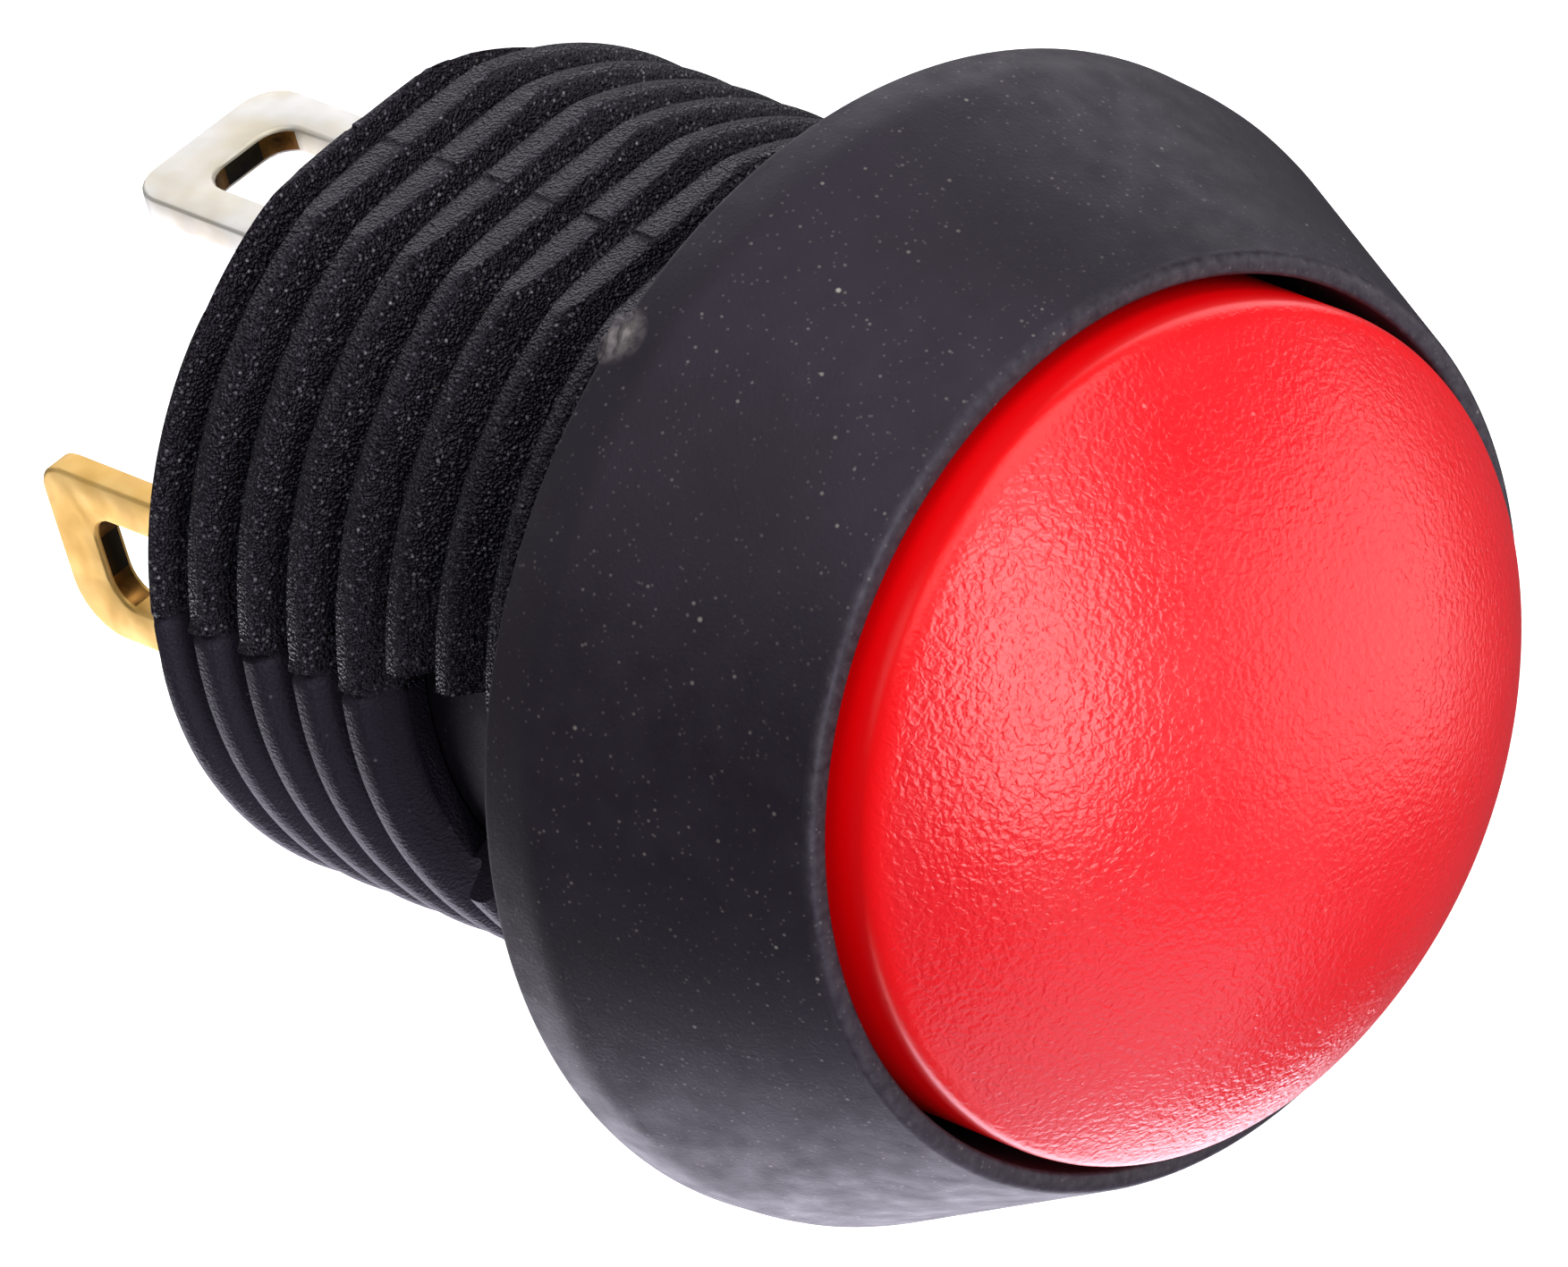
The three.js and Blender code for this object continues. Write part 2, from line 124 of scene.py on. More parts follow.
def asObject(name, bm, sharpDegrees=35):
    bmesh.ops.scale(bm, vec=(mm, mm, mm), verts=bm.verts)
    mesh = bpy.data.meshes.new(name)
    bm.to_mesh(mesh)
    bm.free()
    mesh.shade_smooth()
    mesh.set_sharp_from_angle(angle=math.radians(sharpDegrees))
    piece = bpy.data.objects.new(name, mesh)
    bpy.context.scene.collection.objects.link(piece)
    return piece


def boolean(piece, cutters, operation="DIFFERENCE"):  # joins or cuts, then keeps only the result
    for cutter in cutters:
        modifier = piece.modifiers.new(operation.lower(), "BOOLEAN")
        modifier.operation, modifier.object, modifier.solver = operation, cutter, "MANIFOLD"
    bpy.context.view_layer.update()
    result = bpy.data.meshes.new_from_object(piece.evaluated_get(bpy.context.evaluated_depsgraph_get()))
    piece.modifiers.clear()
    piece.data = result
    for cutter in cutters:
        bpy.data.objects.remove(cutter)
    return piece


def finishPiece(piece, material, body, node, sharpDegrees=35):
    piece.data.materials.clear()
    piece.data.materials.append(material)
    piece.data.shade_smooth()
    piece.data.set_sharp_from_angle(angle=math.radians(sharpDegrees))
    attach(piece, body)
    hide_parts(node)
    return piece


# Sizes that both shapes and materials use.

bezel = {"lipRounding": 0.16, "openingRounding": 0.07, "shoulder": 1.0, "rimRounding": 0.1,
         "lipR": 6.48, "openingR": 6.2, "band": 0.8, "draft": 0.06, "floorY": -0.8,
         "neckR": 5.0, "neckBoreR": 4.0, "rimIn": 4.98, "rimOut": 5.22, "rimTop": -1.85,
         "groove": (6.55, 7.4, -0.62)}
gate = {"degrees": 135, "radius": 7.98, "y": -0.06, "size": (0.22, 0.24, 0.42), "jitter": 0.07}
bushing = {"crestR": 6.0, "pitch": 1.0, "depth": 0.62, "startY": 0.14, "stepDegrees": 2, "endRounding": 0.15,
           "counterboreR": 5.04, "counterboreEnd": 5.3, "boreR": 4.45, "baseY": 6.6, "baseR": 4.8,
           "windowDegrees": (182, 220), "windowEnd": 4.62,
           "flatR": 5.72, "flatDegrees": (111.5, 291.5), "flatten": 0.85,
           "partingDegrees": (188, 112.5), "seamCuts": (-0.9, -0.35, 0.35, 0.9), "nickHalf": 0.45,
           "burrWidth": 1.1, "shallow": 0.3, "notch": 0.13, "burr": 0.09, "mismatch": 0.035}
cap = {"rise": 2.62, "wall": 0.6, "crown": 0.9, "edgeRounding": 0.42, "skirtEnd": -2.6, "edgeY": -5.2,
       "bossR": 2.4, "bossEnd": -3.74, "boreR": 1.24, "boreTop": -5.64}


def linear(hexColour):  # sRGB hex to the linear colour that a socket wants
    parts = [int(hexColour[i:i + 2], 16) / 255 for i in (1, 3, 5)]
    return [c / 12.92 if c <= 0.04045 else ((c + 0.055) / 1.055) ** 2.4 for c in parts] + [1]


def addNode(tree, kind, settings=None, links=None):  # a link comes from a socket, or from a node's first one
    made = tree.nodes.new("ShaderNode" + kind)
    for name, value in (settings or {}).items():
        if isinstance(name, int) or not hasattr(made, name):
            made.inputs[name].default_value = value
        else:
            setattr(made, name, value)
    for socket, source in (links or {}).items():
        tree.links.new(source.outputs[0] if hasattr(source, "outputs") else source, made.inputs[socket])
    return made


def startMaterial(name, settings):
    material = bpy.data.materials.new(name)
    material.use_nodes = True
    tree = material.node_tree
    tree.nodes.clear()
    shader = addNode(tree, "BsdfPrincipled", settings)
    addNode(tree, "OutputMaterial", links={"Surface": shader})
    place = addNode(tree, "TexCoord")
    toMillimetres = {"Scale": (1 / mm, 1 / mm, 1 / mm)}
    where = addNode(tree, "Mapping", toMillimetres, {"Vector": place.outputs["Object"]})
    return material, tree, shader, where


def finishMaterial(tree, shader, colour, roughness, relief):
    tree.links.new(colour, shader.inputs["Base Color"])
    tree.links.new(roughness.outputs[0], shader.inputs["Roughness"])
    tree.links.new(relief.outputs[0], shader.inputs["Normal"])


def alongAndAcross(tree, where):  # the place along the button's axis, and the distance from it, in mm
    flat = addNode(tree, "VectorMath", {"operation": "MULTIPLY", 1: (1, 0, 1)}, {0: where})
    radius = addNode(tree, "VectorMath", {"operation": "LENGTH"}, {0: flat})
    along = addNode(tree, "SeparateXYZ", links={0: where})
    return along.outputs["Y"], radius.outputs["Value"]


# Grains in the plastic. Each layer is (spacing, size, share of the cells that hold one, strength, colour).
def scatter(tree, where, colour, layers, amount):
    for spacing, size, share, strength, grainColour in layers:
        cells = addNode(tree, "TexVoronoi", {"Scale": 1 / spacing}, {"Vector": where})
        grain = addNode(tree, "MapRange", {"From Min": 0.35 * size / spacing, "From Max": size / spacing,
                                           "To Min": strength, "To Max": 0}, {"Value": cells})
        chance = addNode(tree, "SeparateColor", links={0: cells.outputs["Color"]})
        chosen = addNode(tree, "Math", {"operation": "LESS_THAN", 1: share}, {0: chance})
        seen = addNode(tree, "Math", {"operation": "MULTIPLY"}, {0: grain, 1: chosen})
        thinned = addNode(tree, "Math", {"operation": "MULTIPLY"}, {0: seen, 1: amount})
        mixed = addNode(tree, "Mix", {"data_type": "RGBA", 7: linear(grainColour)}, {0: thinned, 6: colour})
        colour = mixed.outputs[2]
    return colour


# real glass grains are finer; they are drawn a few hundredths of a millimetre wide so that they show
nylonFace = {"dark": "#19141b", "light": "#201b24", "edgeWearAndHighlight": "#4c484e", "scar": "#8d8684", "cloudMm": 2.4,
             "tint": "#efe6fc", "scuffMm": 0.16, "lipWearAndHighlight": 0.5, "rimWearAndHighlight": 0.8, "blastMm": 0.06,
             "scarReach": (0.28, 0.5),
             "grains": [(0.11, 0.027, 0.5, 0.3, "#7d7876"), (0.2, 0.032, 0.5, 0.42, "#8f8a86"),
                        (0.42, 0.038, 0.5, 0.55, "#a39f98"), (1.0, 0.048, 0.3, 0.65, "#c0bcb0")]}


# Glass-filled polyamide from a finely blasted mould: blue-black and satin, with pale grains of glass
# at the skin. Its sharp edges are painted paler: partly rubbed wear, partly a painted highlight.
def smoothNylon(face):
    satin = {"IOR": 1.53, "Specular IOR Level": 0.36, "Specular Tint": linear(face["tint"])}
    material, tree, shader, where = startMaterial("glassFilledNylon", satin)
    along, radius = alongAndAcross(tree, where)
    rimR, lipY = span("bezel_head")[:2]
    cloud = addNode(tree, "TexNoise", {"Scale": 1 / face["cloudMm"], "Detail": 3}, {"Vector": where})
    shade = addNode(tree, "MapRange", {"From Min": 0.35, "From Max": 0.65}, {"Value": cloud})
    body = addNode(tree, "Mix", {"data_type": "RGBA", 6: linear(face["dark"]), 7: linear(face["light"])},
                   {0: shade})
    crowd = addNode(tree, "MapRange", {"From Min": 0.38, "From Max": 0.62, "To Min": 0.35, "To Max": 1.0},
                    {"Value": cloud})
    colour = scatter(tree, where, body.outputs[2], face["grains"], crowd.outputs[0])
    scuffs = addNode(tree, "TexNoise", {"Scale": 1 / face["scuffMm"], "Detail": 3}, {"Vector": where})
    broken = addNode(tree, "MapRange", {"From Min": 0.3, "From Max": 0.75}, {"Value": scuffs})
    # paler bands at the lip and the back rim, broken by noise: partly rubbed wear, partly a painted highlight
    lip = addNode(tree, "MapRange", {"From Min": lipY + bezel["lipRounding"], "From Max": lipY + 0.03,
                                     "To Max": face["lipWearAndHighlight"]}, {"Value": along})
    back = addNode(tree, "MapRange", {"From Min": -bezel["rimRounding"], "From Max": -0.02,
                                      "To Max": face["rimWearAndHighlight"]}, {"Value": along})
    outside = addNode(tree, "Math", {"operation": "GREATER_THAN", 1: rimR - 0.14}, {0: radius})
    backRim = addNode(tree, "Math", {"operation": "MULTIPLY"}, {0: back, 1: outside})
    edges = addNode(tree, "Math", {"operation": "MAXIMUM"}, {0: lip, 1: backRim})
    edgeWearAndHighlightAmount = addNode(tree, "Math", {"operation": "MULTIPLY"}, {0: edges, 1: broken})
    edgeWearAndHighlight = addNode(tree, "Mix", {"data_type": "RGBA", 7: linear(face["edgeWearAndHighlight"])}, {0: edgeWearAndHighlightAmount, 6: colour})
    middle = spoke(gate["degrees"]) * gate["radius"] + axis * gate["y"]
    fromGate = addNode(tree, "VectorMath", {"operation": "DISTANCE", 1: middle}, {0: where})
    torn = addNode(tree, "MapRange", {"From Min": face["scarReach"][1], "From Max": face["scarReach"][0],
                                      "To Max": 0.7},
                   {"Value": fromGate.outputs["Value"]})
    tornHere = addNode(tree, "Math", {"operation": "MULTIPLY"}, {0: torn, 1: broken})
    scar = addNode(tree, "Mix", {"data_type": "RGBA", 7: linear(face["scar"])},
                   {0: tornHere, 6: edgeWearAndHighlight.outputs[2]})
    sheen = addNode(tree, "TexNoise", {"Scale": 1 / 0.5, "Detail": 4}, {"Vector": where})
    roughness = addNode(tree, "MapRange", {"From Min": 0.3, "From Max": 0.7, "To Min": 0.46, "To Max": 0.6},
                        {"Value": sheen})
    blasted = addNode(tree, "TexNoise", {"Scale": 1 / face["blastMm"], "Detail": 3, "Roughness": 0.65},
                      {"Vector": where})
    relief = addNode(tree, "Bump", {"Strength": 0.4, "Distance": 0.016 * mm}, {"Height": blasted})
    finishMaterial(tree, shader, scar.outputs[2], roughness, relief)
    return material


# the sand of the mould's surface is drawn a little coarser than it is, for the same reason
threadFace = {"dark": "#0b090d", "light": "#120f15", "slate": "#221e28", "tint": "#ebe0fc", "cloudMm": 1.4,
              "sandMm": (0.065, 0.041), "reliefMm": 0.028,
              "paintedGlints": [(0.085, 0.03, 0.5, 0.7, "#74727b"), (0.17, 0.032, 0.35, 0.8, "#9b99a2")],
              "grains": [(0.3, 0.034, 0.4, 0.5, "#8d8b88"), (0.9, 0.06, 0.35, 0.6, "#b0aca6")]}


# The same polyamide from a spark-eroded mould: darker, with a sandy grain and painted glints where it faces
# forwards. The lower half of the mould was smoother, so that side is plain; it is also coloured a little
# paler.
def grainyNylon(face):
    satin = {"IOR": 1.53, "Specular IOR Level": 0.32, "Specular Tint": linear(face["tint"])}
    material, tree, shader, where = startMaterial("sparkErodedNylon", satin)
    below = spoke(bushing["partingDegrees"][0] + 90)
    side = addNode(tree, "VectorMath", {"operation": "DOT_PRODUCT", 1: below}, {0: where})
    smooth = addNode(tree, "MapRange", {"From Min": -0.05, "From Max": 0.05},
                     {"Value": side.outputs["Value"]})
    cloud = addNode(tree, "TexNoise", {"Scale": 1 / face["cloudMm"], "Detail": 3}, {"Vector": where})
    shade = addNode(tree, "MapRange", {"From Min": 0.35, "From Max": 0.65}, {"Value": cloud})
    body = addNode(tree, "Mix", {"data_type": "RGBA", 6: linear(face["dark"]), 7: linear(face["light"])},
                   {0: shade})
    # the lower side, below the parting line, is coloured a paler slate
    paler = addNode(tree, "Mix", {"data_type": "RGBA", 7: linear(face["slate"])},
                    {0: smooth, 6: body.outputs[2]})
    # painted glints: pale specks mixed into the colour on faces turned forwards, towards the key lamp, but
    # not on the smooth lower side
    normal = addNode(tree, "TexCoord").outputs["Normal"]
    front = addNode(tree, "VectorMath", {"operation": "DOT_PRODUCT", 1: -axis}, {0: normal})
    catching = addNode(tree, "MapRange", {"From Min": -0.1, "From Max": 0.6, "To Min": 0.12},
                       {"Value": front.outputs["Value"]})
    rough = addNode(tree, "Math", {"operation": "SUBTRACT", 0: 1.0}, {1: smooth})
    paintedGlintAmount = addNode(tree, "Math", {"operation": "MULTIPLY"}, {0: catching, 1: rough})
    withPaintedGlints = scatter(tree, where, paler.outputs[2], face["paintedGlints"], paintedGlintAmount.outputs[0])
    colour = scatter(tree, where, withPaintedGlints, face["grains"], shade.outputs[0])
    sheen = addNode(tree, "TexNoise", {"Scale": 1 / 0.3}, {"Vector": where})
    gloss = addNode(tree, "MapRange", {"From Min": 0.3, "From Max": 0.7, "To Min": 0.26, "To Max": 0.34},
                    {"Value": sheen})
    roughness = addNode(tree, "Mix", {"data_type": "FLOAT", 3: 0.56}, {0: smooth, 2: gloss})
    sand = addNode(tree, "TexVoronoi", {"Scale": 1 / face["sandMm"][0]}, {"Vector": where})
    fine = addNode(tree, "TexVoronoi", {"Scale": 1 / face["sandMm"][1]}, {"Vector": where})
    height = addNode(tree, "Math", {"operation": "ADD"}, {0: sand, 1: fine})
    grain = addNode(tree, "MapRange", {"To Min": 1.0, "To Max": 0.4}, {"Value": smooth})
    relief = addNode(tree, "Bump", {"Distance": face["reliefMm"] * mm}, {"Height": height, "Strength": grain})
    finishMaterial(tree, shader, colour, roughness, relief)
    return material


redFace = {"dome": "#e61c26", "skirt": "#fb0007", "dust": [(0.8, 0.04, 0.4, 0.35, "#f3b2ae")],
           "peelMm": 0.1, "peelDepthMm": 0.03}


# Moulded ABS: a fine leathery orange peel that breaks up the highlight on the dome, and a plain glossy skirt.
def redCapPlastic(face):
    material, tree, shader, where = startMaterial("redCapPlastic", {"IOR": 1.52, "Specular IOR Level": 0.5})
    along = alongAndAcross(tree, where)[0]
    onDome = addNode(tree, "MapRange", {"From Min": cap["edgeY"] + 0.1, "From Max": cap["edgeY"] - 0.3},
                     {"Value": along})
    # the dome is mixed a little pinker than the skirt: partly the plastic's own tone, partly a painted pale
    # reflection
    body = addNode(tree, "Mix", {"data_type": "RGBA", 6: linear(face["skirt"]), 7: linear(face["dome"])},
                   {0: onDome})
    colour = scatter(tree, where, body.outputs[2], face["dust"], onDome.outputs[0])
    patches = addNode(tree, "TexNoise", {"Scale": 1 / 1.1, "Detail": 3}, {"Vector": where})
    patchy = addNode(tree, "MapRange", {"From Min": 0.3, "From Max": 0.7, "To Min": 0.25, "To Max": 0.32},
                     {"Value": patches})
    roughness = addNode(tree, "Mix", {"data_type": "FLOAT", 2: 0.3}, {0: onDome, 3: patchy})
    peel = addNode(tree, "TexNoise", {"Scale": 1 / face["peelMm"], "Detail": 1.5, "Distortion": 0.5},
                   {"Vector": where})
    depth = addNode(tree, "MapRange", {"To Min": 0.05, "To Max": 0.8}, {"Value": onDome})
    relief = addNode(tree, "Bump", {"Distance": face["peelDepthMm"] * mm},
                     {"Height": peel, "Strength": depth})
    finishMaterial(tree, shader, colour, roughness, relief)
    return material


# Electroplated strip: soft bright metal with faint stains and stamping marks.
def platedMetal(name, face):
    material, tree, shader, where = startMaterial(name, {"Metallic": 1.0})
    stains = addNode(tree, "TexNoise", {"Scale": 1 / face["stainMm"], "Detail": 3}, {"Vector": where})
    stained = addNode(tree, "MapRange", {"From Min": 0.42, "From Max": 0.66}, {"Value": stains})
    colour = addNode(tree, "Mix", {"data_type": "RGBA", 6: linear(face["colour"]), 7: linear(face["stain"])},
                     {0: stained})
    sheen = addNode(tree, "TexNoise", {"Scale": 1 / 0.4, "Detail": 3}, {"Vector": where})
    roughness = addNode(tree, "MapRange", {"From Min": 0.3, "From Max": 0.7, "To Min": face["roughness"][0],
                                           "To Max": face["roughness"][1]}, {"Value": sheen})
    marks = addNode(tree, "TexNoise", {"Scale": 1 / 0.14, "Detail": 3}, {"Vector": where})
    relief = addNode(tree, "Bump", {"Strength": face["grain"], "Distance": 0.01 * mm}, {"Height": marks})
    finishMaterial(tree, shader, colour.outputs[2], roughness, relief)
    return material


# Plastics, resin and rubber inside: a little cloudy, with faint flow marks or dust.
def plainPlastic(name, face):
    material, tree, shader, where = startMaterial(name, {"IOR": face["ior"]})
    cloud = addNode(tree, "TexNoise", {"Scale": 1 / 1.6, "Detail": 3}, {"Vector": where})
    colour = addNode(tree, "Mix", {"data_type": "RGBA", 6: linear(face["colour"]), 7: linear(face["shade"])},
                     {0: cloud})
    sheen = addNode(tree, "TexNoise", {"Scale": 1 / 0.6}, {"Vector": where})
    roughness = addNode(tree, "MapRange", {"From Min": 0.3, "From Max": 0.7, "To Min": face["roughness"][0],
                                           "To Max": face["roughness"][1]}, {"Value": sheen})
    flow = addNode(tree, "TexNoise", {"Scale": 1 / face["grainMm"], "Detail": 3}, {"Vector": where})
    relief = addNode(tree, "Bump", {"Strength": face["bump"], "Distance": 0.015 * mm}, {"Height": flow})
    finishMaterial(tree, shader, colour.outputs[2], roughness, relief)
    return material


nylon = smoothNylon(nylonFace)
threadNylon = grainyNylon(threadFace)
capPlastic = redCapPlastic(redFace)
metals = {
    "silverPlate": {"colour": "#f1efea", "stain": "#e8e0cc", "stainMm": 1.3,
                    "roughness": (0.54, 0.66), "grain": 0.25},
    "goldPlate": {"colour": "#f4ce82", "stain": "#e6ba62", "stainMm": 1.1,
                  "roughness": (0.5, 0.62), "grain": 0.25},
    # the eye's end wall: bare brass, painted dark in the middle as a painted reflection and bright at the
    # corners as a painted highlight
    "brassWithPaintedDarkReflection": {"colour": "#4a4234", "stain": "#2a2a28", "stainMm": 0.4,
                       "roughness": (0.35, 0.5), "grain": 0.5},
    "brassWithPaintedHighlight": {"colour": "#a8783c", "stain": "#4a3720", "stainMm": 0.4,
                     "roughness": (0.3, 0.5), "grain": 0.5},
    "springSteel": {"colour": "#b9bbbe", "stain": "#8f9297", "stainMm": 0.6,
                    "roughness": (0.22, 0.36), "grain": 0.15},
}
plate = {name: platedMetal(name, face) for name, face in metals.items()}
plainFaces = {  # polyoxymethylene, phenolic resin, epoxy, silicone and nitrile rubber
    "whiteAcetal": {"colour": "#e9e6dd", "shade": "#d8d4c8", "ior": 1.48, "roughness": (0.34, 0.46),
                    "grainMm": 0.2, "bump": 0.15},
    "phenolicMoulding": {"colour": "#3c2c21", "shade": "#2b2019", "ior": 1.6, "roughness": (0.45, 0.6),
                         "grainMm": 0.12, "bump": 0.3},
    "pottingResin": {"colour": "#1b1c20", "shade": "#25262b", "ior": 1.55, "roughness": (0.1, 0.22),
                     "grainMm": 1.2, "bump": 0.6},
    "redSilicone": {"colour": "#96332c", "shade": "#a8564e", "ior": 1.42, "roughness": (0.6, 0.75),
                    "grainMm": 0.12, "bump": 0.3},
    "blackNitrile": {"colour": "#161618", "shade": "#2a2a2c", "ior": 1.5, "roughness": (0.6, 0.75),
                     "grainMm": 0.12, "bump": 0.35},
}
plain = {name: plainPlastic(name, face) for name, face in plainFaces.items()}
print("materials made")


def bezelHead():
    rimR, lipY, neckEnd = span("bezel_head")
    grooveIn, grooveOut, grooveY = bezel["groove"]
    bm = spun(outlineOf([
        (bezel["neckBoreR"], bezel["floorY"]),
        (bezel["rimIn"], bezel["floorY"]),
        (bezel["rimIn"], bezel["rimTop"]),
        (bezel["rimOut"], bezel["rimTop"]),
        (bezel["rimOut"], bezel["floorY"]),
        (bezel["openingR"], bezel["floorY"], 0.1),
        (bezel["openingR"], lipY, bezel["openingRounding"]),
        (bezel["lipR"], lipY, bezel["lipRounding"]),
        (rimR - bezel["draft"], -bezel["band"], bezel["shoulder"]),
        (rimR, 0, bezel["rimRounding"]),
        (grooveOut, 0, 0.04),
        (grooveOut, grooveY),
        (grooveIn, grooveY),
        (grooveIn, 0, 0.04),
        (bezel["neckR"], 0),
        (bezel["neckR"], neckEnd, 0.12),
        (bezel["neckBoreR"], neckEnd),
    ]), 240)
    piece = boolean(asObject("bezelHead", bm), [gateStub()], "UNION")
    return finishPiece(piece, nylon, "housing", "bezel_head")


def gateStub():  # the broken-off sprue leaves a torn lump on the back rim
    bm = bmesh.new()
    lump = bmesh.ops.create_icosphere(bm, subdivisions=4, radius=1)
    for v in lump["verts"]:
        v.co *= 1 + random.uniform(-gate["jitter"], gate["jitter"]) + 0.16 * math.sin(5 * v.co.z + 7 * v.co.y)
    bmesh.ops.scale(bm, vec=gate["size"], verts=bm.verts)
    bmesh.ops.translate(bm, vec=(gate["radius"], gate["y"], 0), verts=bm.verts)
    turn = Matrix.Rotation(-math.radians(gate["degrees"]), 4, "Y")
    bmesh.ops.rotate(bm, cent=(0, 0, 0), matrix=turn, verts=bm.verts)
    return asObject("gateStub", bm)


bezelHead()
print("bezel head made")


# height of the thread across one pitch, from root to root: steep at the rear, rounder in front
threadForm = [(0.0, 0.0), (0.07, 0.01), (0.15, 0.12), (0.24, 0.46), (0.32, 0.8), (0.38, 0.93), (0.46, 0.99),
              (0.56, 1.0), (0.64, 0.99), (0.69, 0.93), (0.73, 0.8), (0.83, 0.28), (0.9, 0.05), (0.96, 0.0)]


def threadedBushing():
    radius = bushing["crestR"]
    front, rear = span("threaded_bushing")[1:]
    pitch, root = bushing["pitch"], radius - bushing["depth"]
    turns = math.ceil(rear / pitch) + 3
    first = bushing["startY"] - 2.5 * pitch
    bm = bmesh.new()
    form = threadForm + [(1.0, 0.0)]
    verts = [bm.verts.new((-root - bushing["depth"] * h, first + pitch * y, 0)) for y, h in form]
    edges = [bm.edges.new(pair) for pair in zip(verts, verts[1:])]
    steps = 360 // bushing["stepDegrees"]
    bmesh.ops.spin(bm, geom=verts + edges, cent=(0, 0, 0), axis=axis, dvec=axis * pitch / steps,
                   angle=2 * math.pi, steps=steps, use_merge=False, use_duplicate=False)
    oneTurn = bm.verts[:] + bm.edges[:] + bm.faces[:]
    for i in range(1, turns):  # each further turn starts where the last one ended
        copy = bmesh.ops.duplicate(bm, geom=oneTurn)
        moved = [v for v in copy["geom"] if isinstance(v, bmesh.types.BMVert)]
        bmesh.ops.translate(bm, verts=moved, vec=axis * pitch * i)
    bmesh.ops.remove_doubles(bm, verts=bm.verts, dist=1e-4)
    for degrees in bushing["partingDegrees"]:
        for off in bushing["seamCuts"]:
            slicePlane(bm, spoke(degrees + off + 90))
    slicePlane(bm, axis, front, outer=-1)
    slicePlane(bm, axis, rear, outer=1)
    for degrees in bushing["flatDegrees"]:
        cutFlat(bm, spoke(degrees))
    shapePartingLines(bm, radius)
    roundEnd(bm, radius, rear)
    bmesh.ops.holes_fill(bm, edges=[e for e in bm.edges if e.is_boundary], sides=0)
    bmesh.ops.recalc_face_normals(bm, faces=bm.faces)
    piece = asObject("threadedBushing", bm)
    boolean(piece, [boreCutter(front, rear), windowCutter(radius)])
    return finishPiece(piece, threadNylon, "housing", "threaded_bushing", 62)


def slicePlane(bm, normal, at=0.0, outer=0):
    geometry = bm.verts[:] + bm.edges[:] + bm.faces[:]
    bmesh.ops.bisect_plane(bm, geom=geometry, plane_co=normal * at, plane_no=normal, dist=1e-4,
                           clear_outer=outer > 0, clear_inner=outer < 0)


def cutFlat(bm, outwards):  # the crests are nearly flat along the mould's main parting lines
    slicePlane(bm, outwards, bushing["flatR"])
    for v in bm.verts:
        past = v.co.dot(outwards) - bushing["flatR"]
        if past > 0:
            v.co -= outwards * past * bushing["flatten"]


def shapePartingLines(bm, radius):  # the mould halves don't quite meet: a nick, a burr and a small step
    lower = bushing["partingDegrees"][0]
    burrs = {}
    for v in bm.verts:
        degrees = math.degrees(math.atan2(v.co.z, v.co.x)) % 360
        flat = Vector((v.co.x, 0, v.co.z))
        height = max(0, (flat.length - radius + bushing["depth"]) / bushing["depth"])
        change = 0
        for line in bushing["partingDegrees"]:
            off = (degrees - line + 180) % 360 - 180
            deep = 1.0 if line == lower else bushing["shallow"]
            key = (line, round(v.co.y / bushing["pitch"]))
            size = random.uniform(0.35, 1.3), random.uniform(0.0, bushing["burr"])
            nick, burr = burrs.setdefault(key, size)
            if abs(off) < bushing["nickHalf"]:
                change -= bushing["notch"] * nick * deep * height
            elif -bushing["burrWidth"] < off < 0:
                change += burr * deep * height
        if lower <= degrees < bushing["flatDegrees"][1]:
            change -= bushing["mismatch"] * height
            v.co.y += bushing["mismatch"] * height
        v.co += flat.normalized() * change


def roundEnd(bm, radius, rear):
    r = bushing["endRounding"]
    for v in bm.verts:
        past = v.co.y - (rear - r)
        if past > 0:
            limit = radius - r + math.sqrt(max(0, r * r - past * past))
            flat = Vector((v.co.x, 0, v.co.z))
            if flat.length > limit:
                v.co -= flat.normalized() * (flat.length - limit)


def boreCutter(front, rear):
    bm = spun([(0, front - 1), (bushing["counterboreR"], front - 1),
               (bushing["counterboreR"], bushing["counterboreEnd"]),
               (bushing["boreR"], bushing["counterboreEnd"]), (bushing["boreR"], bushing["baseY"]),
               (bushing["baseR"], bushing["baseY"]), (bushing["baseR"], rear - 0.1),
               (bushing["baseR"] + 0.25, rear + 0.15), (0, rear + 0.15)], 144)
    return asObject("boreCutter", bm)


def windowCutter(radius):
    start, end = bushing["windowDegrees"]
    bm = bmesh.new()
    inner, outer = bezel["neckR"] - 0.3, radius + 1
    corners = [spoke(start) * inner, spoke(start) * outer, spoke(end) * outer, spoke(end) * inner]
    base = bm.faces.new([bm.verts.new(c - axis) for c in corners])
    top = bmesh.ops.extrude_face_region(bm, geom=[base])
    moved = [v for v in top["geom"] if isinstance(v, bmesh.types.BMVert)]
    bmesh.ops.translate(bm, verts=moved, vec=axis * (1 + bushing["windowEnd"]))
    bmesh.ops.recalc_face_normals(bm, faces=bm.faces)
    return asObject("windowCutter", bm)


threadedBushing()
print("threaded bushing made")


